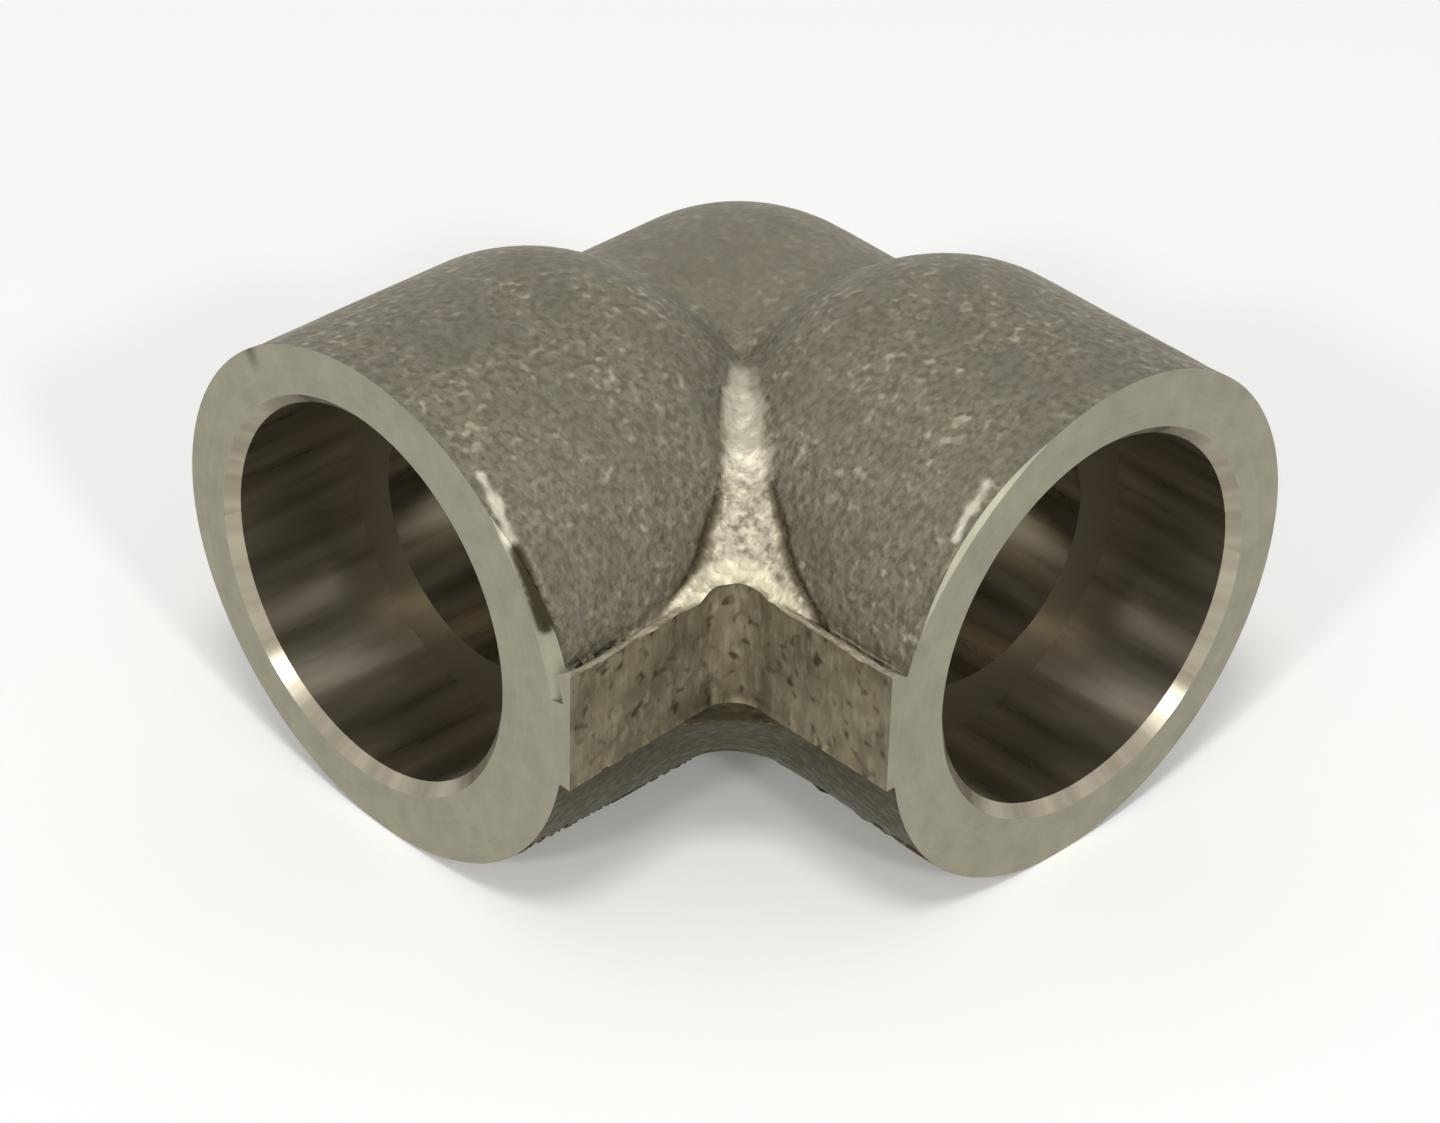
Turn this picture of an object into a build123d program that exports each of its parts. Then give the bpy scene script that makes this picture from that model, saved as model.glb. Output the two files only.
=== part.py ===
import os
from math import asin, atan2, cos, exp, hypot, radians, sin, sqrt, tan

from build123d import *

# Ninety degree elbow for socket-welded pipe: one forging with machined ends. Millimetres.
# The origin is the point where the two bores cross, with one leg along +X and the other along +Y.
# Both lie in the forging's parting plane, z = 0, and +Z is up as the elbow lies on a bench.

# Machined ends, turned back from a forging that is a little longer
centre_to_face = 27.6
facing_stock = 0.5
facing_radius = 20
socket_radius = 10.9
socket_depth = 8.5
mouth_chamfer = 0.65
flow_radius = 7.8
drill_point_angle = 118
cut_clearance = 1

# Forged body: a ball at the heel with a round stub towards each collar
body_radius = 11.9

# Forged collars, each a slightly oval outline of four arcs, off the bore's axis: how far it leans to
# the crotch, how far it is lifted, its major and minor radius, and the turn of its major axis in degrees
left_collar = (0.98, 0.0, 15.38, 14.22, -19.3)
right_collar = (0.36, 0.08, 15.07, 14.07, -41.6)
collar_mean_radius = 14.5

# Rounded shoulder behind each collar: where it starts, its radius, and where it ends in the body
shoulder_start = 14.0
shoulder_radius = 10.3
shoulder_end = 6.45
shoulder_steps = 5

# Trimmed flash land on the crotch side, a flat band along the parting plane, with its root buried
land_top = 3.5
land_bottom = -3.3
land_right = 15.4
land_left_root = 16.0
land_left_face = 16.8
land_corner_radius = 2.0
land_root = 8
trim_cut_height = 12

# Ridge of flash left standing along the land's trimmed edge, with a sloping inner side
ridge_height = 0.4
ridge_width = 1.0
ridge_slope = 55

# Web in the crotch: its reach along each collar at the land, the reach it thins down to above
# and below, how fast it does so, where it runs out, and how much longer it is along the left leg
web_reach_at_land = 7.1
web_reach_above = 2.6
web_reach_below = 3.9
web_fade_up = 2.3
web_fade_down = 2.5
web_end = 9.8
web_end_share = 0.2
web_run_out = 1.2
web_left_extra = 0.9
web_hollow = 0.29
web_tuck = 0.12
web_root = 2.5
web_levels = (web_end, 9.3, 8.6, 7.4, 6, 4.8, 3.6, 2, 0, -3, -4.5, -6, -7.8, -9.1, -web_end)

# Bevel on the outer edge of each face, on the upper crotch side. It starts at a radius and is widest at
# an angle, and it is turned about a line a little off the bore's axis, so that it fades to both sides.
left_bevel = (14.95, 34)
right_bevel = (14.1, 50)
bevel_depth = 0.9
bevel_off_axis = 6
bevel_half_angle = 20


def shoulder_size(distance):
    """How much the shoulder has shrunk the collar at a distance from the centre, as a fraction."""
    run = max(shoulder_start - distance, 0)
    drop = shoulder_radius - sqrt(shoulder_radius**2 - run**2)
    return 1 - drop / collar_mean_radius


def collar_arcs(collar, size=1):
    """The four arcs of a collar's oval outline, scaled by size: three points each, joined at 45 degrees."""
    lean, lift, major, minor, turn = collar
    end_radius = (minor - (sqrt(2) - 1) * major) / (2 - sqrt(2))
    x, y = major - end_radius + end_radius / sqrt(2), end_radius / sqrt(2)
    points = [(x, -y), (major, 0), (x, y), (0, minor), (-x, y), (-major, 0), (-x, -y), (0, -minor)]
    placed = [(Vector(*p).rotate(Axis.Z, turn) + Vector(lean, lift)) * size for p in points]
    return [(placed[k], placed[k + 1], placed[(k + 2) % 8]) for k in (0, 2, 4, 6)]


def flank(height, collar, distance):
    """How far a collar reaches towards the crotch at a height, at a distance from the centre."""
    lean, lift, major, minor, turn = collar
    size = shoulder_size(distance)
    along_x, along_y = major * cos(radians(turn)), major * sin(radians(turn))
    across_x, across_y = -minor * sin(radians(turn)), minor * cos(radians(turn))
    rise = (height / size - lift) / hypot(along_y, across_y)
    angle = asin(min(rise, 1)) - atan2(along_y, across_y)
    return size * (lean + along_x * cos(angle) + across_x * sin(angle))


def valley(height):
    """The plan corner where the two collars run into each other at a height, found by repeated steps."""
    x, y = collar_mean_radius, collar_mean_radius
    for _ in range(20):
        x, y = flank(height, right_collar, y), flank(height, left_collar, x)
    return x, y


def web_reach(height):
    """How far the web spreads along each collar at a height: widest at the land, thin at its two ends."""
    thin = web_reach_above if height > 0 else web_reach_below
    away = max(height - land_top, 0) / web_fade_up + max(land_bottom - height, 0) / web_fade_down
    spread = thin + (web_reach_at_land - thin) * exp(-away)
    return spread * min(1, web_end_share + (web_end - abs(height)) / web_run_out)


# Each leg is a straight collar from its face to the shoulder, then a shoulder lofted down to the body
forged_end = centre_to_face + facing_stock
shoulder_step = (shoulder_start - shoulder_end) / shoulder_steps
shoulder_stations = [shoulder_start - shoulder_step * step for step in range(shoulder_steps + 1)]

with BuildPart() as left_leg:
    with BuildSketch(Plane(origin=(shoulder_start, 0, 0), x_dir=(0, 1, 0), z_dir=(1, 0, 0))):
        with BuildLine():
            for arc in collar_arcs(left_collar):
                ThreePointArc(*arc)
        make_face()
    extrude(amount=forged_end - shoulder_start)
    for distance in shoulder_stations:
        with BuildSketch(Plane(origin=(distance, 0, 0), x_dir=(0, 1, 0), z_dir=(1, 0, 0))):
            with BuildLine():
                for arc in collar_arcs(left_collar, shoulder_size(distance)):
                    ThreePointArc(*arc)
            make_face()
    loft()

with BuildPart() as right_leg:
    with BuildSketch(Plane(origin=(0, shoulder_start, 0), x_dir=(1, 0, 0), z_dir=(0, -1, 0))):
        with BuildLine():
            for arc in collar_arcs(right_collar):
                ThreePointArc(*arc)
        make_face()
    extrude(amount=shoulder_start - forged_end)
    for distance in shoulder_stations:
        with BuildSketch(Plane(origin=(0, distance, 0), x_dir=(1, 0, 0), z_dir=(0, -1, 0))):
            with BuildLine():
                for arc in collar_arcs(right_collar, shoulder_size(distance)):
                    ThreePointArc(*arc)
            make_face()
    loft()

# The web fills the valley between the collars. Each level is a corner with a hollow front.
with BuildPart() as web:
    for height in web_levels:
        reach = web_reach(height)
        left_reach = reach * (1 + web_left_extra / web_reach_at_land)
        x, y = valley(height)
        with BuildSketch(Plane.XY.offset(height)):
            with BuildLine():
                front = ThreePointArc(
                    (x + left_reach, y - web_tuck),
                    (x + web_hollow * left_reach, y + web_hollow * reach),
                    (x - web_tuck, y + reach),
                )
                Polyline(
                    front @ 1,
                    (x - web_root, y + reach),
                    (x - web_root, y - web_root),
                    (x + left_reach, y - web_root),
                    front @ 0,
                )
            make_face()
    loft()

# The trim line in plan: two straight cuts that meet in a rounded inside corner
with BuildLine() as trim_line:
    FilletPolyline(
        (land_right, forged_end),
        (land_right, land_left_root),
        (forged_end, land_left_face),
        radius=land_corner_radius,
    )
trim_start, trim_finish = trim_line.line @ 0, trim_line.line @ 1

with BuildPart() as elbow:
    # Forged shape
    Sphere(body_radius)
    with BuildSketch(Plane.YZ):
        Circle(body_radius)
    extrude(amount=shoulder_start)
    with BuildSketch(Plane.XZ):
        Circle(body_radius)
    extrude(amount=-shoulder_start)
    add(left_leg.part)
    add(right_leg.part)
    add(web.part)

    # Flash land along the parting plane
    with BuildSketch(Plane.XY.offset(land_bottom)):
        with BuildLine():
            add(trim_line.line)
            Polyline(
                trim_finish,
                (forged_end, land_root),
                (land_root, land_root),
                (land_root, forged_end),
                trim_start,
            )
        make_face()
    extrude(amount=land_top - land_bottom)

    # Ridge on the land, made twice as wide as it ends up, then the trim cut that squares off the lot
    with BuildSketch(Plane.XY.offset(land_top)):
        trace(trim_line.line, line_width=2 * ridge_width)
    extrude(amount=ridge_height, taper=ridge_slope)
    with BuildSketch(Plane.XY.offset(land_bottom)):
        with BuildLine():
            add(trim_line.line)
            Polyline(trim_finish, (forged_end, forged_end), trim_start)
        make_face()
    extrude(amount=trim_cut_height, mode=Mode.SUBTRACT)

    # Bevels on the outer edges of the two faces
    for (radius, widest), along, side, turn in (
        (left_bevel, Vector(1, 0, 0), Vector(0, 1, 0), 1),
        (right_bevel, Vector(0, 1, 0), Vector(1, 0, 0), -1),
    ):
        up = Vector(0, 0, 1)
        centre = (side * cos(radians(widest)) + up * sin(radians(widest))) * -bevel_off_axis
        first = radians(widest - bevel_half_angle)
        outward = side * cos(first) + up * sin(first)
        cut_radius = radius + bevel_off_axis
        with BuildSketch(Plane(origin=centre, x_dir=along, z_dir=along.cross(outward))):
            with BuildLine():
                Polyline(
                    (centre_to_face + cut_clearance, cut_radius - cut_clearance),
                    (centre_to_face + cut_clearance, cut_radius + bevel_depth),
                    (centre_to_face - bevel_depth, cut_radius + bevel_depth),
                    close=True,
                )
            make_face()
        revolve(axis=Axis(centre, along * turn), revolution_arc=2 * bevel_half_angle, mode=Mode.SUBTRACT)

    # Face, socket with its chamfered mouth, then the flow bore with its drill point past the centre
    tip = flow_radius / tan(radians(drill_point_angle / 2))
    for plane, axis in ((Plane.XZ, Axis.X), (Plane.YZ, Axis.Y)):
        with BuildSketch(plane):
            with BuildLine():
                Polyline(
                    (-tip, 0),
                    (0, flow_radius),
                    (centre_to_face - socket_depth, flow_radius),
                    (centre_to_face - socket_depth, socket_radius),
                    (centre_to_face - mouth_chamfer, socket_radius),
                    (centre_to_face, socket_radius + mouth_chamfer),
                    (centre_to_face, facing_radius),
                    (centre_to_face + cut_clearance, facing_radius),
                    (centre_to_face + cut_clearance, 0),
                    close=True,
                )
            make_face()
        revolve(axis=axis, mode=Mode.SUBTRACT)

elbow.part.label = "elbow"

os.makedirs("parts", exist_ok=True)
export_step(elbow.part, "parts/elbow.step")
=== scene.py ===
from math import radians, tan

import bpy
import numpy as np
from mathutils import Matrix, Vector


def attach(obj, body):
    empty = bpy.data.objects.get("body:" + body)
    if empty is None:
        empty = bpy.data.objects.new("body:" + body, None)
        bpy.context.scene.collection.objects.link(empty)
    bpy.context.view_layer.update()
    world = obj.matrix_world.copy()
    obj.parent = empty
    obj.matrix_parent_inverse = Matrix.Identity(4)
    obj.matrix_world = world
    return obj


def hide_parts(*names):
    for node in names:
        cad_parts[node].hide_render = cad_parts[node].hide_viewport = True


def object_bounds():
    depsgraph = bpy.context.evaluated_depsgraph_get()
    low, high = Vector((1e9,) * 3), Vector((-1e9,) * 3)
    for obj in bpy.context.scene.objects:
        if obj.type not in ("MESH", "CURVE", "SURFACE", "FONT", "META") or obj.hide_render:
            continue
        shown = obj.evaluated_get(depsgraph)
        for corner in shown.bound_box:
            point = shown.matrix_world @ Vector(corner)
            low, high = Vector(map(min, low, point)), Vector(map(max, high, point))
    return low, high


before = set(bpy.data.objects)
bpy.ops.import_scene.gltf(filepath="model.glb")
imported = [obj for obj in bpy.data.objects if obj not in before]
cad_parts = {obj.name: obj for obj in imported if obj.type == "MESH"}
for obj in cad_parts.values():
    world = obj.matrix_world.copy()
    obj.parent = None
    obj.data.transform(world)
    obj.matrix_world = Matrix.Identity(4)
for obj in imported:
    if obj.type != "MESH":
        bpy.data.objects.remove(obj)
cad_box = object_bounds()
MM = 0.001

# The camera looks down on the crotch from midway between the two sockets, through a long lens 27 cm away. It
# rolls a little, to match the photograph.
LENS_MM = 120.76
SENSOR_MM = 36
CAMERA_MM = Vector((159.63, 164.13, 147.16))
AIM_MM = Vector((10.881, 10.125, 0))
ROLL_DEG = 1.536

camera = bpy.data.objects.new("camera", bpy.data.cameras.new("camera"))
bpy.context.scene.collection.objects.link(camera)
camera.data.lens = LENS_MM
camera.data.sensor_width = SENSOR_MM
camera.data.clip_start = 0.005
camera.data.clip_end = 50
sight = (AIM_MM - CAMERA_MM).to_track_quat("-Z", "Y").to_matrix().to_4x4()
camera.matrix_world = Matrix.Translation(CAMERA_MM * MM) @ sight @ Matrix.Rotation(radians(ROLL_DEG), 4, "Z")
bpy.context.scene.camera = camera
bpy.context.scene.view_settings.view_transform = "Standard"


# The bench is a plain pale sheet, lit by a soft box overhead and two more beside the camera, as on a product
# table. Camera and mirror rays see the sheet and the room white, and the object's own light stays plain.
FLOOR_HALF_WIDTH = 1.5
SKY_LEVEL = 0.45
FLOOR_GLOW = 0.12
BOX_DISTANCE = 0.9
SOFT_BOXES = {
    "top_box": ((0.3, 0.28, 0.91), 2.64, 0.24),
    "left_box": ((0.81, 0.27, 0.52), 1.8, 0.1),
    "right_box": ((0.28, 0.8, 0.53), 1.8, 0.1),
}


def linear(hex_colour):
    """An sRGB hex colour as linear light with a solid alpha. A part from 0 to 1 goes over 12.92 where it is
    dark, and else has 0.055 added, goes over 1.055 and is raised to the power 2.4."""
    parts = [int(hex_colour[i : i + 2], 16) / 255 for i in (1, 3, 5)]
    return (*[p / 12.92 if p <= 0.04045 else ((p + 0.055) / 1.055) ** 2.4 for p in parts], 1)


def add(tree, kind, inputs=None, out=0, **settings):
    """Adds a node of a kind with its settings, gives each named input a value or a socket, and hands back one
    of the node's outputs, by name or number."""
    made = tree.nodes.new("ShaderNode" + kind)
    for name, value in settings.items():
        setattr(made, name, value)
    for name, value in (inputs or {}).items():
        if isinstance(value, bpy.types.NodeSocket):
            tree.links.new(value, made.inputs[name])
        else:
            made.inputs[name].default_value = value
    return made.outputs[out] if made.outputs else None


def looking(tree):
    """1 for the rays that only look, and 0 for the rays that light: the greatest of the flags of camera,
    mirror and see-through rays."""
    seen, mirrored, through = (
        add(tree, "LightPath", out=ray) for ray in ("Is Camera Ray", "Is Glossy Ray", "Is Transmission Ray")
    )
    either = add(tree, "Math", {0: seen, 1: mirrored}, operation="MAXIMUM")
    return add(tree, "Math", {0: either, 1: through}, operation="MAXIMUM")


world = bpy.data.worlds.new("studio")
bpy.context.scene.world = world
world.use_nodes = True
tree = world.node_tree
tree.nodes.clear()
dim_room = add(tree, "Background", {"Color": linear("#ffffff"), "Strength": SKY_LEVEL})
white_room = add(tree, "Background", {"Color": linear("#fcfdfb"), "Strength": 1.0})
add(tree, "OutputWorld", {"Surface": add(tree, "MixShader", {0: looking(tree), 1: dim_room, 2: white_room})})

half = FLOOR_HALF_WIDTH
floor_height = cad_box[0].z
sheet = bpy.data.meshes.new("floor")
floor_corners = [(-half, -half), (half, -half), (half, half), (-half, half)]
sheet.from_pydata([(x, y, floor_height) for x, y in floor_corners], [], [(0, 1, 2, 3)])
floor = bpy.data.objects.new("floor", sheet)
bpy.context.scene.collection.objects.link(floor)
paper = bpy.data.materials.new("matt_white_paper")
paper.use_nodes = True
tree = paper.node_tree
tree.nodes.clear()
matt = add(tree, "BsdfPrincipled", {"Base Color": linear("#f2f2f0"), "Roughness": 0.9})
glow = add(tree, "Emission", {"Color": linear("#fcfdfb"), "Strength": FLOOR_GLOW})
lit = add(tree, "AddShader", {0: matt, 1: glow})
add(tree, "OutputMaterial", {"Surface": add(tree, "MixShader", {0: looking(tree), 1: matt, 2: lit})})
sheet.materials.append(paper)

for name, (direction, watts, size) in SOFT_BOXES.items():
    lamp = bpy.data.lights.new(name, "AREA")
    lamp.energy = watts
    lamp.shape = "DISK"
    lamp.size = size
    holder = bpy.data.objects.new(name, lamp)
    bpy.context.scene.collection.objects.link(holder)
    away = Vector(direction).normalized()
    turn = away.to_track_quat("Z", "Y").to_matrix().to_4x4()
    holder.matrix_world = Matrix.Translation(away * BOX_DISTANCE + AIM_MM * MM) @ turn


# The elbow is one drop forging of steel. Its skin is shot blasted, the flash in the crotch is sheared off
# along a flat land, and each end is faced, bored and chamfered on a lathe. All sizes here are millimetres.
FACE = cad_box[1].x / MM
SOCKET_RADIUS = 10.9
SOCKET_FLOOR = 19.1
FLOW_RADIUS = 7.8
CHAMFER = 0.65
DRILL_POINT_DEG = 118
DRILL_TIP = FLOW_RADIUS / tan(radians(DRILL_POINT_DEG / 2))
LEFT_COLLAR = (0.98, 0.0, 15.38, 14.22, -19.3)
RIGHT_COLLAR = (0.36, 0.08, 15.07, 14.07, -41.6)
TRIM_RIGHT = 15.4
TRIM_LEFT = (16.0, 16.8)
TRIM_CORNER = 2.0
LAND_TOP = 3.5
RIDGE_TOP = 3.9
VALLEY_SLOPE = 0.935
STRIPE_TOP = 10.5
NICK = (27.6, -8.7, 11.8)
SLIT = ((27.1, 12.3, 9.1), (27.2, 14.4, 5.7))
LEFT_HIGHLIGHT_STRIP = ((26.75, 8.9, 11.9), (27.1, 11.8, 9.55))
RIGHT_HIGHLIGHT_STRIP = ((8.0, 26.4, 11.9), (10.5, 26.8, 9.85))

SKIN, FACED, BORED, SHEARED = range(4)
TRIM_TOLERANCE = 0.12
TOOL_TOLERANCE = 0.05
SHARP_EDGE_DEG = 38

# The longest edge on each finish, and on detailed metal: the crotch, and the inner sides by the faces, with
# painted highlight
EDGE_LIMITS = np.array([0.9, 1.6, 1.6, 0.45])
DETAIL_LIMIT = 0.38
CROTCH_START = 12
CROTCH_HALF_HEIGHT = 10.5
FACE_MARKS_START = 25.5
FACE_MARKS_INNER = 6
FACE_MARKS_BOTTOM = 5
SPREAD_ROUNDS = 8

SNAP_ROUNDS = 3
SMOOTHING_STEPS = [0.6, -0.62] * 7
FILLET_STEPS = [0.6] * 20
NOISE_TILE = 64

# Each relief has the size of its cells, and its depth
WAVES = (5.0, 0.05)
GRAIN = (1.4, 0.06)
COARSE_TORN = (0.9, 0.13)
FINE_TORN = (0.6, 0.09)
UPRIGHT_TEARS = ((0.7, 0.7, 2.6), 0.1)
BROAD_TEARS = (1.5, 0.1)
PITS = (1.0, 0.16)
BURR = (0.9, 0.16)
GROOVE_DEPTH = 0.2
SLIT_DEPTH = 0.15
NICK_DEPTH = 0.12


def lattice_noise(places, cell, seed):
    """Noise from -1 to 1: random values at the corners of a grid of cells, blended along each axis by a share
    of the way through the cell, as three times its square less twice its cube. The grid repeats in tiles."""
    table = np.random.default_rng(seed).uniform(-1, 1, (NOISE_TILE,) * 3)
    scaled = places / np.asarray(cell, float)
    low = np.floor(scaled).astype(int)
    fade = (scaled - low) ** 2 * (3 - 2 * (scaled - low))
    total = np.zeros(len(places))
    for corner in np.ndindex(2, 2, 2):
        weight = np.prod(np.where(corner, fade, 1 - fade), axis=1)
        total += weight * table[tuple(((low + corner) % NOISE_TILE).T)]
    return total


def sunk(places, relief, seed):
    """How high noise leaves a surface, from minus its full depth up to 0: half the depth, times the noise
    less one."""
    cell, depth = relief
    return depth * (lattice_noise(places, cell, seed) - 1) / 2


def between(value, low, high):
    """0 up to low and 1 from high on. In the middle it takes the share of the way from low to high, and is
    three times its square less twice its cube."""
    t = np.clip((value - low) / (high - low), 0, 1)
    return t * t * (3 - 2 * t)


def tool_radius(along):
    """The boring tools' radius at a distance along a leg, by straight lines between the ends of the drill
    point, the flow bore, the socket and the chamfer."""
    stations = [-DRILL_TIP, 0, SOCKET_FLOOR, SOCKET_FLOOR + 0.001, FACE - CHAMFER, FACE]
    radii = [0, FLOW_RADIUS, FLOW_RADIUS, SOCKET_RADIUS, SOCKET_RADIUS, SOCKET_RADIUS + CHAMFER]
    return np.interp(along, stations, radii)


def legs(places):
    """For each place, its distance along each leg, and its distance from that leg's axis by Pythagoras."""
    x, y, z = places.T
    return (x, np.hypot(y, z)), (y, np.hypot(x, z))


def trim_depth(places):
    """How far a place is past the trim cut, negative in the metal: the inside corner's radius, less how far
    the place is short of the corner's centre, taken square to the two straight cuts and by Pythagoras."""
    x, y, _ = places.T
    root, face = TRIM_LEFT
    past_left = y - (root + (face - root) * (x - TRIM_RIGHT) / (FACE - TRIM_RIGHT))
    past_right = x - TRIM_RIGHT
    corner = np.hypot(np.maximum(TRIM_CORNER - past_left, 0), np.maximum(TRIM_CORNER - past_right, 0))
    return TRIM_CORNER - corner


def off_collar(sideways, up, collar):
    """How far a place is off a collar's oval, as a share of its size: its distances along the oval's two
    axes, each over the radius there, by Pythagoras, less one."""
    lean, lift, major, minor, turn = collar
    cosine, sine = np.cos(radians(turn)), np.sin(radians(turn))
    u = (sideways - lean) * cosine + (up - lift) * sine
    v = (up - lift) * cosine - (sideways - lean) * sine
    return np.hypot(u / major, v / minor) - 1


def off_line(places, ends):
    """How far each place is from a straight line between two ends: from the foot of its perpendicular, or
    from the nearer end where the foot is beyond it."""
    start, end = np.array(ends)
    run = end - start
    share = np.clip((places - start) @ run / (run @ run), 0, 1)
    return np.linalg.norm(places - start - share[:, None] * run, axis=1)


def edges_of(triangles, count):
    """The mesh's edges as two arrays of ends, and for each triangle the edges after its three corners. An
    edge's key is its lower end times the count of points, plus its higher end."""
    ends = np.sort(triangles[:, [[0, 1], [1, 2], [2, 0]]], axis=2)
    keys, edge_of = np.unique(ends[..., 0] * count + ends[..., 1], return_inverse=True)
    return keys // count, keys % count, edge_of.reshape(-1, 3)


def cut_long_edges(points, triangles, kinds):
    """Halves triangles until no edge is over its limit. A round cuts, at their middles, the edges that are
    the longest of both triangles beside them, where one of those is too long or leads on to one that is."""
    while True:
        a, b, edge_of = edges_of(triangles, len(points))
        length = np.linalg.norm(points[a] - points[b], axis=1)
        x, y, z = points[triangles].mean(axis=1).T
        crotch = (np.minimum(x, y) > CROTCH_START) & (abs(z) < CROTCH_HALF_HEIGHT)
        by_faces = (np.maximum(x, y) > FACE_MARKS_START) & (np.minimum(x, y) > FACE_MARKS_INNER) & (z > FACE_MARKS_BOTTOM)
        detailed = (crotch | by_faces) & ((kinds == SKIN) | (kinds == FACED))
        limit = np.where(detailed, DETAIL_LIMIT, EDGE_LIMITS[kinds])
        edge_limit = np.full(len(a), np.inf)
        np.minimum.at(edge_limit, edge_of, limit[:, None])
        rank = np.empty(len(a), int)
        rank[np.lexsort((a, b, length))] = np.arange(len(a))
        side = rank[edge_of].argmax(axis=1)
        longest = edge_of[np.arange(len(triangles)), side]
        marked = length > edge_limit
        for _ in range(SPREAD_ROUNDS):
            marked[longest[marked[edge_of].any(axis=1)]] = True
        cut = marked & (np.bincount(longest, minlength=len(a)) == 2)
        if not cut.any():
            return points, triangles, kinds
        new = np.zeros(len(a), int)
        new[cut] = len(points) + np.arange(cut.sum())
        halved = cut[longest]
        turned = triangles[np.arange(len(triangles))[:, None], (side[:, None] + [0, 1, 2]) % 3][halved]
        i, j, k = turned.T
        m = new[longest[halved]]
        triangles = np.vstack([triangles[~halved], np.stack([i, m, k], 1), np.stack([m, j, k], 1)])
        kinds = np.concatenate([kinds[~halved], kinds[halved], kinds[halved]])
        points = np.vstack([points, (points[a[cut]] + points[b[cut]]) / 2])


def one_long(vectors):
    """Each vector divided by its own length."""
    return vectors / np.maximum(np.linalg.norm(vectors, axis=1, keepdims=True), 1e-12)


def triangle_normals(points, triangles):
    """Each triangle's normal, twice its area long: the cross product of two of its sides."""
    p, q, r = points[triangles].transpose(1, 0, 2)
    return np.cross(q - p, r - p)


def point_normals(points, triangles):
    """Each point's normal: the normals of the triangles round it, added up and made one long."""
    shared = np.repeat(triangle_normals(points, triangles), 3, axis=0)
    total = np.stack([np.bincount(triangles.ravel(), shared[:, k], len(points)) for k in range(3)], 1)
    return one_long(total)


def to_neighbours(points, a, b):
    """Each point's step to the mean of its neighbours: the sum of their places over their number, less its
    own place. The arrays a and b hold the two ends of every edge."""
    count = len(points)
    degree = np.bincount(a, minlength=count) + np.bincount(b, minlength=count)
    sums = [np.bincount(a, points[b, k], count) + np.bincount(b, points[a, k], count) for k in range(3)]
    return np.stack(sums, 1) / degree[:, None] - points


# The solid's own triangles, merged where their corners meet
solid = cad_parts["elbow"].data
solid.calc_loop_triangles()
loose = np.empty(len(solid.vertices) * 3)
solid.vertices.foreach_get("co", loose)
triangles = np.empty(len(solid.loop_triangles) * 3, int)
solid.loop_triangles.foreach_get("vertices", triangles)
loose = loose.reshape(-1, 3) / MM
_, first, merged = np.unique(np.round(loose, 3), axis=0, return_index=True, return_inverse=True)
points = loose[first]
triangles = merged.reshape(-1)[triangles].reshape(-1, 3)
i, j, k = triangles.T
triangles = triangles[(i != j) & (j != k) & (k != i)]

# Which finish each triangle has: turned faces and bevels, bored surfaces, the sheared land, and forged skin
slope = one_long(triangle_normals(points, triangles))
middles = points[triangles].mean(axis=1)
kinds = np.full(len(triangles), SKIN)
upright = abs(slope[:, 2]) < 0.1
on_trim_cut = abs(trim_depth(middles)) < TRIM_TOLERANCE
kinds[on_trim_cut & (abs(middles[:, 2]) < RIDGE_TOP) & upright] = SHEARED
for axis, (along, radius) in enumerate(legs(middles)):
    kinds[(along > FACE - 1) & (slope[:, axis] > 0.3)] = FACED
    in_bore = (radius < tool_radius(along + 0.02) + TOOL_TOLERANCE) & (along < FACE - 0.001)
    kinds[in_bore & (along > -DRILL_TIP)] = BORED

points, triangles, kinds = cut_long_edges(points, triangles, kinds)
touches = [np.isin(np.arange(len(points)), triangles[kinds == kind]) for kind in range(4)]
only_skin = touches[SKIN] & ~touches[FACED] & ~touches[BORED] & ~touches[SHEARED]
only_land = touches[SHEARED] & ~touches[FACED] & ~touches[BORED] & ~touches[SKIN]

# Bored surfaces are true rounds: their points go out to the tool's radius, in turns where the bores cross
for _ in range(SNAP_ROUNDS):
    for axis, others in ((0, [1, 2]), (1, [0, 2])):
        along, radius = legs(points)[axis]
        target = tool_radius(along)
        on_tool = touches[BORED] & (abs(radius - target) < TOOL_TOLERANCE) & (along > -DRILL_TIP + 0.3)
        points[np.ix_(on_tool, others)] *= (target / np.maximum(radius, 1e-9))[on_tool, None]

# The forged skin has no facets: it is smoothed by steps to the mean of the neighbours and back
a, b, _ = edges_of(triangles, len(points))
for step in SMOOTHING_STEPS:
    points[only_skin] += step * to_neighbours(points, a, b)[only_skin]

# The valley above the web is filled out to a soft fillet, by steps to the mean of the neighbours alone
x, y, z = points.T
off_valley = abs(x - VALLEY_SLOPE * y)
soft = (1 - between(off_valley, 1.2, 2.6)) * between(z, 5.5, 7.5) * between(x, 6.5, 8) * only_skin
for step in FILLET_STEPS:
    points += step * soft[:, None] * to_neighbours(points, a, b)

# Where the skin is web: off both collars, in the crotch above the land, and in a ragged stripe up the valley.
# A groove runs where the web leaves each collar, sunk and painted dark as shade, and fades out towards the
# faces.
x, y, z = points.T
ragged = 0.25 * lattice_noise(points, 0.6, 10)
off_collars = np.minimum(off_collar(y, z, LEFT_COLLAR), off_collar(x, z, RIGHT_COLLAR))
in_crotch = between(np.minimum(x, y), 11, 12.5) * between(z, 2.0, LAND_TOP)
stripe = (1 - between(off_valley + ragged, 1.2, 1.7)) * between(z, 6, 7.5) * between(x, 7.5, 8.5)
stripe *= 1 - between(z + ragged, STRIPE_TOP - 0.2, STRIPE_TOP + 0.2)
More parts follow.
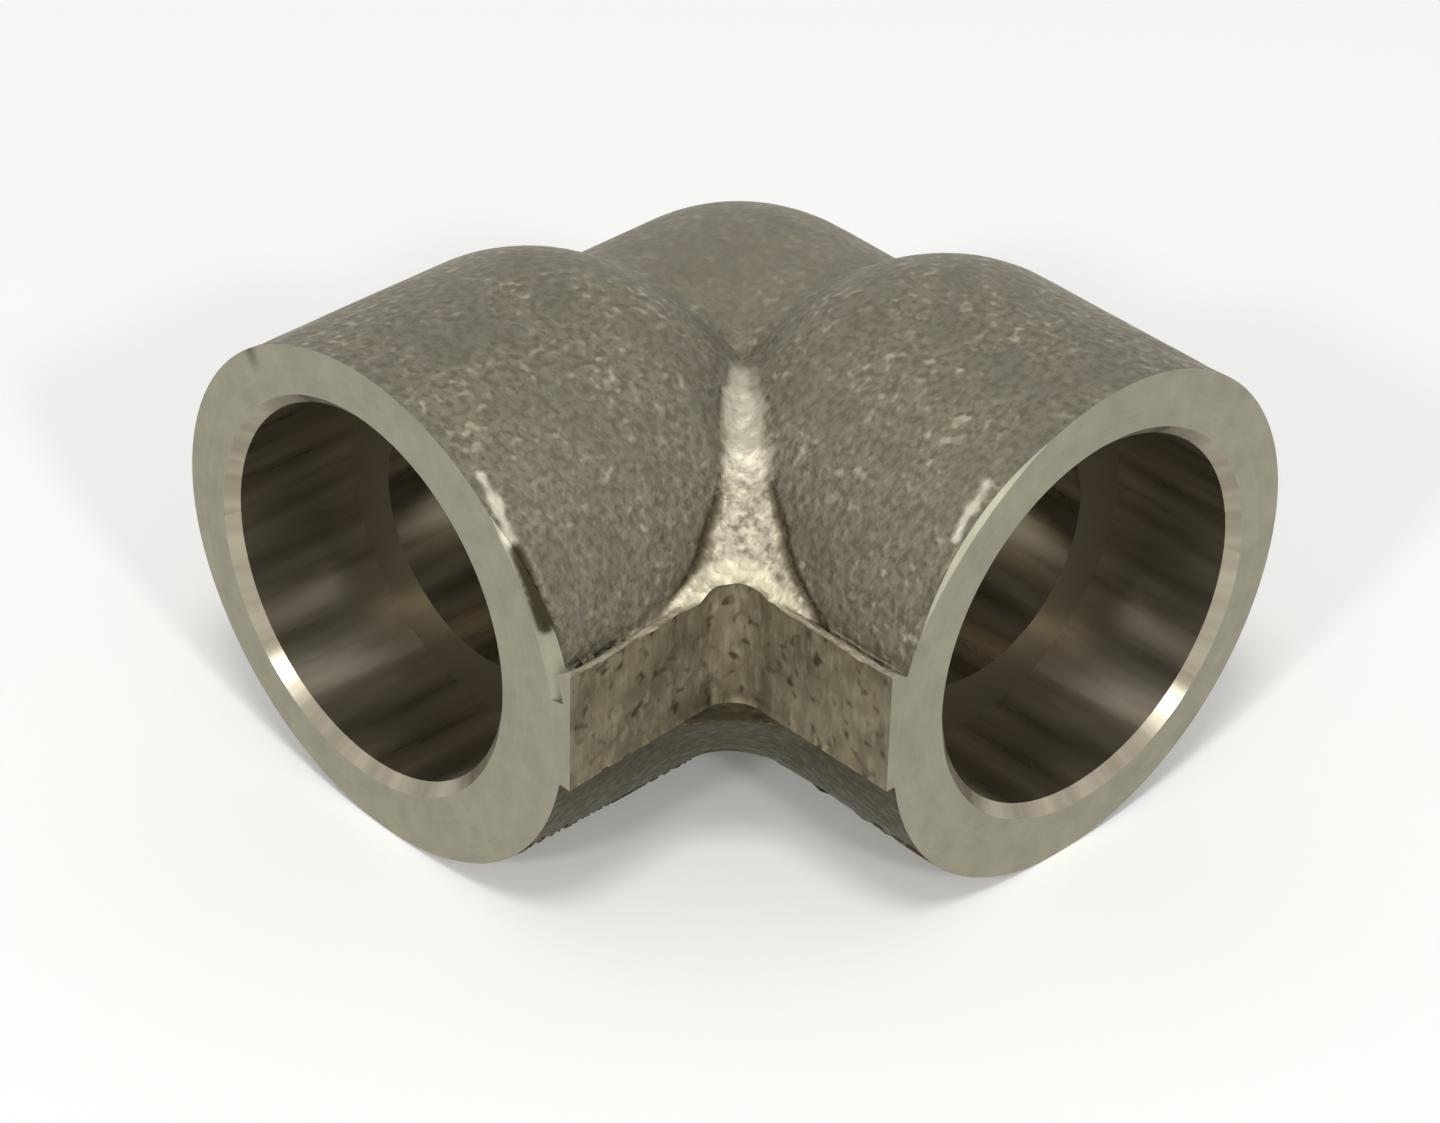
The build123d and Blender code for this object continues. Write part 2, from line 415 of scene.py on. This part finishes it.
# Painted highlight: the web, with the stripe up the valley, is painted pale; it also carries a torn relief
web_and_highlight = np.maximum(between(off_collars, 0.006, 0.03) * in_crotch, stripe)
to_faces = np.minimum(FACE - x, FACE - y)
groove = between(off_collars, 0.0, 0.004) * (1 - between(off_collars, 0.008, 0.02)) * in_crotch * (1 - stripe)
groove *= between(to_faces, 0.6, 1.6)

# Marks: painted highlight on the ridge and in a strip by each face; a slit beside the left face; a nick in
# its edge
# Painted highlight: a pale line along the upper edge of the land
ridge_highlight = between(trim_depth(points), -1.0, -0.7) * between(z, LAND_TOP - 0.1, LAND_TOP + 0.15)
slit = 1 - between(off_line(points, SLIT), 0.3, 0.65)
nick = 1 - between(np.linalg.norm(points - np.array(NICK), axis=1), 0.2, 0.55)
# Painted shade in the groove, the slit and the nick, which are also sunk
painted_shade = np.maximum(np.maximum(groove * (1 - ridge_highlight), slit), nick)
# Painted highlight: a pale strip by each face where its edge catches the light, and the top of the valley
# stripe
painted_highlight = 1 - between(np.minimum(off_line(points, LEFT_HIGHLIGHT_STRIP), off_line(points, RIGHT_HIGHLIGHT_STRIP)) + ragged, 0.15, 0.45)
painted_highlight = np.maximum(painted_highlight, 0.6 * stripe * between(z, 7.5, 9))
# The skin just below the land is painted darker: the land's browner tone carried down, and painted shade
# underneath
land_tone_and_shade = between(-z, LAND_TOP - 0.6, LAND_TOP) * between(np.minimum(x, y), 11, 13)
blast = 0.3 + 0.7 * between(x + y, 2, 20)

# Relief of the skin, sunk from the true form: long waves from the die, blasted grain, and a torn, coarser web
normals = point_normals(points, triangles)
torn = sunk(points, COARSE_TORN, 4) + sunk(points, FINE_TORN, 5)
relief = sunk(points, WAVES, 1) + blast * sunk(points, GRAIN, 2) + web_and_highlight * torn - GROOVE_DEPTH * groove
relief = between(to_faces, 0.05, 0.9) * relief - SLIT_DEPTH * slit - NICK_DEPTH * nick
points[only_skin] += (relief[:, None] * normals)[only_skin]

# Relief of the land: upright tears and pits, and a burr that rises and falls along its upper edge
pit_cell, pit_depth = PITS
pits = -pit_depth * between(lattice_noise(points, pit_cell, 8), 0.45, 0.75)
relief = sunk(points, UPRIGHT_TEARS, 6) + sunk(points, BROAD_TEARS, 7) + pits
relief *= between(to_faces, 0.2, 1.2)
points[only_land] += (relief[:, None] * normals)[only_land]
burr_cell, burr_height = BURR
burr = burr_height * (lattice_noise(points, burr_cell, 9) - 0.6) * between(to_faces, 0.3, 1.3)
on_edge = touches[SHEARED] & touches[SKIN] & (z > 3)
points[on_edge, 2] += burr[on_edge]
points = np.clip(points, np.array(cad_box[0]) / MM, np.array(cad_box[1]) / MM)

# Machined surfaces carry a map at real size, in millimetres: along the cut's feed, and round the leg's axis.
# The feed goes out from the axis on faces and end cuts, which are the step and the drill point. Elsewhere it
# goes along the leg.
corners = points[triangles]
middles = corners.mean(axis=1)
off_tool = [abs(radius - tool_radius(along)) for along, radius in legs(middles)]
on_left = np.where(kinds == FACED, middles[:, 0] > middles[:, 1], off_tool[0] < off_tool[1])
along = np.where(on_left[:, None], corners[..., 0], corners[..., 1])
sideways = np.where(on_left[:, None], corners[..., 1], corners[..., 0])
radius = np.hypot(sideways, corners[..., 2])
angle = np.arctan2(corners[..., 2], sideways)
angle += 2 * np.pi * ((angle.max(axis=1, keepdims=True) - angle) > np.pi)
slope = one_long(triangle_normals(points, triangles))
end_cut = abs(np.where(on_left, slope[:, 0], slope[:, 1])) > 0.5
end_cut &= (kinds == BORED) & (along.mean(axis=1) < FACE - CHAMFER)
feed = np.where((end_cut | (kinds == FACED))[:, None], radius, along)
cut_map = np.stack([feed, angle * SOCKET_RADIUS], axis=2)

forging_mesh = bpy.data.meshes.new("elbow_forging")
forging_mesh.from_pydata(points * MM, [], triangles)
forging_mesh.polygons.foreach_set("material_index", kinds.astype(np.int32))
forging_mesh.polygons.foreach_set("use_smooth", np.ones(len(triangles), bool))
forging_mesh.uv_layers.new(name="cut").uv.foreach_set("vector", cut_map.astype(np.float32).ravel())
marks = {"web_and_highlight": web_and_highlight, "ridge_highlight": ridge_highlight, "land_tone_and_shade": land_tone_and_shade, "painted_highlight": painted_highlight, "painted_shade": painted_shade, "blast": blast}
for name, values in marks.items():
    forging_mesh.attributes.new(name, "FLOAT", "POINT").data.foreach_set("value", values.astype(np.float32))
forging_mesh.attributes.new("end_cut", "FLOAT", "FACE").data.foreach_set("value", end_cut.astype(np.float32))
forging_mesh.update()
forging_mesh.set_sharp_from_angle(angle=radians(SHARP_EDGE_DEG))
forging = bpy.data.objects.new("elbow_forging", forging_mesh)
bpy.context.scene.collection.objects.link(forging)

# Forged steel, shot blasted and left bare: a dull khaki grey with soft pale spots painted on as glints. The
# blasted grain is about 0.15 mm, and is drawn at 0.45 mm so that it shows.
skin = bpy.data.materials.new("shot_blasted_steel")
skin.use_nodes = True
tree = skin.node_tree
tree.nodes.clear()
place = add(tree, "TexCoord", out="Object")
patches = add(tree, "TexNoise", {"Vector": place, "Scale": 1 / (3.0 * MM), "Detail": 3.0})
grains = add(tree, "TexNoise", {"Vector": place, "Scale": 1 / (0.45 * MM), "Detail": 3.0})
glints = add(tree, "TexNoise", {"Vector": place, "Scale": 1 / (0.55 * MM), "Detail": 0.5})
blasted = add(tree, "Attribute", out="Fac", attribute_name="blast")
tone = add(tree, "MapRange", {"Value": patches, "From Min": 0.35, "From Max": 0.65})
colour = add(tree, "Mix", {0: tone, 6: linear("#787365"), 7: linear("#837c6b")}, out=2, data_type="RGBA")
dents = add(tree, "MapRange", {"Value": grains, "From Min": 0.58, "From Max": 0.36, "To Max": blasted})
colour = add(tree, "Mix", {0: dents, 6: colour, 7: linear("#6b6554")}, out=2, data_type="RGBA")
# Painted glints: soft pale spots in clumps, fewer where the blasting is light
clumps = add(tree, "MapRange", {"Value": patches, "From Min": 0.4, "From Max": 0.62, "To Max": blasted})
painted_glints = add(tree, "MapRange", {"Value": glints, "From Min": 0.58, "From Max": 0.85, "To Max": clumps})
colour = add(tree, "Mix", {0: painted_glints, 6: colour, 7: linear("#b4ac97")}, out=2, data_type="RGBA")
# Painted highlight on the web: its torn grain is painted pale, with darker specks
hollows = add(tree, "MapRange", {"Value": grains, "From Min": 0.34, "From Max": 0.56})
pale = add(tree, "Mix", {0: hollows, 6: linear("#6c6655"), 7: linear("#a09987")}, out=2, data_type="RGBA")
web_highlight = add(tree, "Attribute", out="Fac", attribute_name="web_and_highlight")
colour = add(tree, "Mix", {0: web_highlight, 6: colour, 7: pale}, out=2, data_type="RGBA")
# Painted highlight on the ridge and by the faces, the land's tone and painted shade below it, painted shade
# in recesses
for name, shade in {"ridge_highlight": "#b0a893", "land_tone_and_shade": "#484331", "painted_highlight": "#cdc7b5", "painted_shade": "#453e2e"}.items():
    amount = add(tree, "Attribute", out="Fac", attribute_name=name)
    colour = add(tree, "Mix", {0: amount, 6: colour, 7: linear(shade)}, out=2, data_type="RGBA")
height = add(tree, "Math", {0: grains, 1: glints}, operation="ADD")
strength = add(tree, "MapRange", {"Value": blasted, "From Min": 0.3, "To Min": 0.25, "To Max": 0.8})
bump = add(tree, "Bump", {"Height": height, "Distance": 0.1 * MM, "Strength": strength})
limits = {"From Min": 0.4, "From Max": 0.7, "To Min": 0.6, "To Max": 0.45}
rough = add(tree, "MapRange", {"Value": glints, **limits})
inputs = {"Base Color": colour, "Metallic": 0.9, "Roughness": rough, "Normal": bump}
add(tree, "OutputMaterial", {"Surface": add(tree, "BsdfPrincipled", inputs)})

# Faced ends: steel turned with a blunt tool, an even light grey with faint rings. The feed is about 0.1 mm,
# and is drawn at 0.3 mm.
faced = bpy.data.materials.new("lathe_faced_steel")
faced.use_nodes = True
tree = faced.node_tree
tree.nodes.clear()
place = add(tree, "TexCoord", out="Object")
cut = add(tree, "UVMap", uv_map="cut")
feed = add(tree, "SeparateXYZ", {0: cut})
rings = add(tree, "TexNoise", {"W": feed, "Scale": 1 / 0.3, "Detail": 2.0}, noise_dimensions="1D")
patches = add(tree, "TexNoise", {"Vector": place, "Scale": 1 / (1.5 * MM), "Detail": 3.0})
tone = add(tree, "MapRange", {"Value": patches, "From Min": 0.3, "From Max": 0.7})
colour = add(tree, "Mix", {0: tone, 6: linear("#8e8b7a"), 7: linear("#9c9885")}, out=2, data_type="RGBA")
lines = add(tree, "MapRange", {"Value": rings, "From Min": 0.3, "From Max": 0.7, "To Max": 0.2})
colour = add(tree, "Mix", {0: lines, 6: colour, 7: linear("#a39f8d")}, out=2, data_type="RGBA")
# Painted highlight strips by the faces, and painted shade where the slit and nick reach the faces
for name, shade in {"painted_highlight": "#c9c3b0", "painted_shade": "#37311f"}.items():
    amount = add(tree, "Attribute", out="Fac", attribute_name=name)
    colour = add(tree, "Mix", {0: amount, 6: colour, 7: linear(shade)}, out=2, data_type="RGBA")
bump = add(tree, "Bump", {"Height": rings, "Distance": 0.01 * MM, "Strength": 0.6})
inputs = {"Base Color": colour, "Metallic": 0.9, "Roughness": 0.52, "Normal": bump}
add(tree, "OutputMaterial", {"Surface": add(tree, "BsdfPrincipled", inputs)})

# Bored sockets and flow bores: steel bored fine and bright, a dark mirror with streaks that run along the
# bore, because the tool marks run round it. The end cuts are rougher, and painted darker as shade.
bored = bpy.data.materials.new("fine_bored_steel")
bored.use_nodes = True
tree = bored.node_tree
tree.nodes.clear()
cut = add(tree, "UVMap", uv_map="cut")
stretched = add(tree, "Mapping", {"Vector": cut, "Scale": (0.05, 0.5, 1.0)})
streaks = add(tree, "TexNoise", {"Vector": stretched, "Scale": 1.0, "Detail": 3.0})
feed = add(tree, "SeparateXYZ", {0: cut})
rings = add(tree, "TexNoise", {"W": feed, "Scale": 1 / 0.25, "Detail": 1.0}, noise_dimensions="1D")
tone = add(tree, "MapRange", {"Value": streaks, "From Min": 0.3, "From Max": 0.7})
colour = add(tree, "Mix", {0: tone, 6: linear("#8d8473"), 7: linear("#bdb4a1")}, out=2, data_type="RGBA")
# Painted shade: the end cuts, deep in the bores, are painted darker, and are rougher
across = add(tree, "Attribute", out="Fac", attribute_name="end_cut")
colour = add(tree, "Mix", {0: across, 6: colour, 7: linear("#5a5446")}, out=2, data_type="RGBA")
limits = {"From Min": 0.3, "From Max": 0.7, "To Min": 0.26, "To Max": 0.34}
rough = add(tree, "MapRange", {"Value": streaks, **limits})
rough = add(tree, "Mix", {0: across, 2: rough, 3: 0.45})
bump = add(tree, "Bump", {"Height": rings, "Distance": 0.004 * MM, "Strength": 0.5})
inputs = {
    "Base Color": colour,
    "Metallic": 1.0,
    "Roughness": rough,
    "Anisotropic": 0.75,
    "Tangent": add(tree, "Tangent", direction_type="UV_MAP", uv_map="cut"),
    "Normal": bump,
}
add(tree, "OutputMaterial", {"Surface": add(tree, "BsdfPrincipled", inputs)})

# Sheared land: torn steel where the flash was cut off, browner and duller than the skin, with dark pits.
sheared = bpy.data.materials.new("sheared_steel")
sheared.use_nodes = True
tree = sheared.node_tree
tree.nodes.clear()
place = add(tree, "TexCoord", out="Object")
upright = add(tree, "Mapping", {"Vector": place, "Scale": (1.0, 1.0, 0.4)})
tears = add(tree, "TexNoise", {"Vector": upright, "Scale": 1 / (0.5 * MM), "Detail": 3.0})
pits = add(tree, "TexNoise", {"Vector": place, "Scale": 1 / (0.8 * MM), "Detail": 1.0})
patches = add(tree, "TexNoise", {"Vector": place, "Scale": 1 / (2.5 * MM), "Detail": 2.0})
tone = add(tree, "MapRange", {"Value": patches, "From Min": 0.35, "From Max": 0.65})
colour = add(tree, "Mix", {0: tone, 6: linear("#6c644f"), 7: linear("#857d67")}, out=2, data_type="RGBA")
torn = add(tree, "MapRange", {"Value": tears, "From Min": 0.48, "From Max": 0.75, "To Max": 0.8})
colour = add(tree, "Mix", {0: torn, 6: colour, 7: linear("#979079")}, out=2, data_type="RGBA")
pitted = add(tree, "MapRange", {"Value": pits, "From Min": 0.6, "From Max": 0.75, "To Max": 0.9})
colour = add(tree, "Mix", {0: pitted, 6: colour, 7: linear("#3f3825")}, out=2, data_type="RGBA")
bump = add(tree, "Bump", {"Height": tears, "Distance": 0.1 * MM, "Strength": 0.7})
inputs = {"Base Color": colour, "Metallic": 0.8, "Roughness": 0.62, "Normal": bump}
add(tree, "OutputMaterial", {"Surface": add(tree, "BsdfPrincipled", inputs)})

for material in (skin, faced, bored, sheared):
    forging_mesh.materials.append(material)
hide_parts("elbow")
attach(forging, "root")
